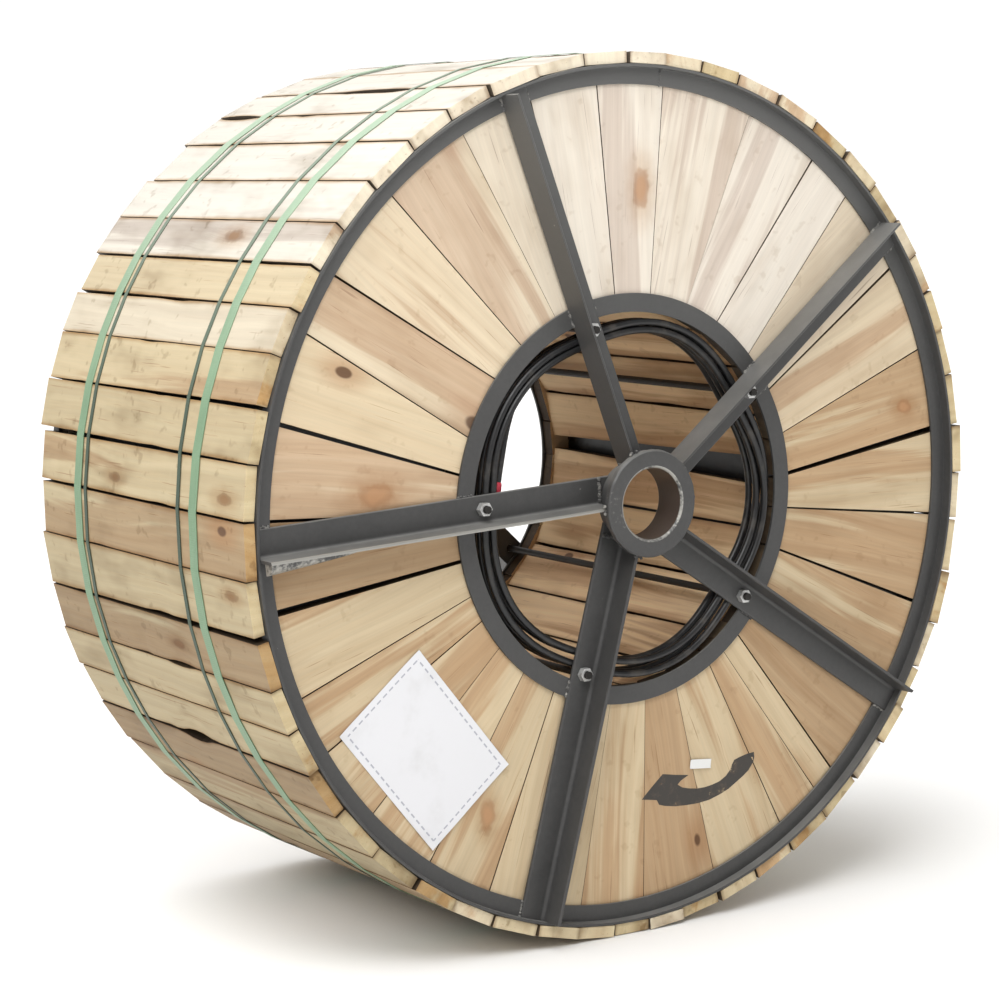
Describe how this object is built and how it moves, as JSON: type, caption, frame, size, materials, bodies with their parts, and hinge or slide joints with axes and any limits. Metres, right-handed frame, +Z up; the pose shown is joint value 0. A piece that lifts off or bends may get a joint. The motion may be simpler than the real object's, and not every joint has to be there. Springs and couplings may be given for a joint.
{
  "type": "wooden cable drum",
  "caption": "Lagged wooden cable drum in dark steel flange frames with spokes, hub bores and tie rods, lying with its axis level",
  "frame": {"origin": "centre of the drum's box on the floor", "axes": "Y along the drum's axis with the front flange facing -Y, Z up"},
  "size_m": [1.1859, 0.662, 1.1841],
  "materials": {
    "frame_paint": "satin",
    "flange_wood": "sawn",
    "lagging_wood": "sawn",
    "stave_wood": "sawn",
    "plated_steel": "zinc plated",
    "rod_steel": "dull",
    "green_strap": "embossed",
    "dark_band": "matte",
    "cable_jacket": "semi-matte",
    "cap_plastic": "gloss",
    "paper_white": "matte"
  },
  "bodies": {
    "root": {"front_rim": "frame_paint", "front_inner_ring": "frame_paint", "front_hub": "frame_paint", "front_spoke_1": "frame_paint", "front_spoke_2": "frame_paint", "front_spoke_3": "frame_paint", "front_spoke_4": "frame_paint", "front_spoke_5": "frame_paint", "front_flange_boards": "flange_wood", "front_nuts": "plated_steel", "front_strap": "green_strap", "front_band": "dark_band", "back_rim": "frame_paint", "back_inner_ring": "frame_paint", "back_hub": "frame_paint", "back_spoke_1": "frame_paint", "back_spoke_2": "frame_paint", "back_spoke_3": "frame_paint", "back_spoke_4": "frame_paint", "back_spoke_5": "frame_paint", "back_flange_boards": "flange_wood", "back_nuts": "plated_steel", "back_strap": "green_strap", "back_band": "dark_band", "tie_rod_1": "rod_steel", "tie_rod_2": "rod_steel", "tie_rod_3": "rod_steel", "tie_rod_4": "rod_steel", "tie_rod_5": "rod_steel", "barrel_staves": "stave_wood", "lagging_boards": "lagging_wood", "cable_winding": "cable_jacket", "cable_tail_coil": "cable_jacket", "cable_end_cap": "cap_plastic", "placard": "paper_white", "sticker": "paper_white"}
  },
  "joints": []
}
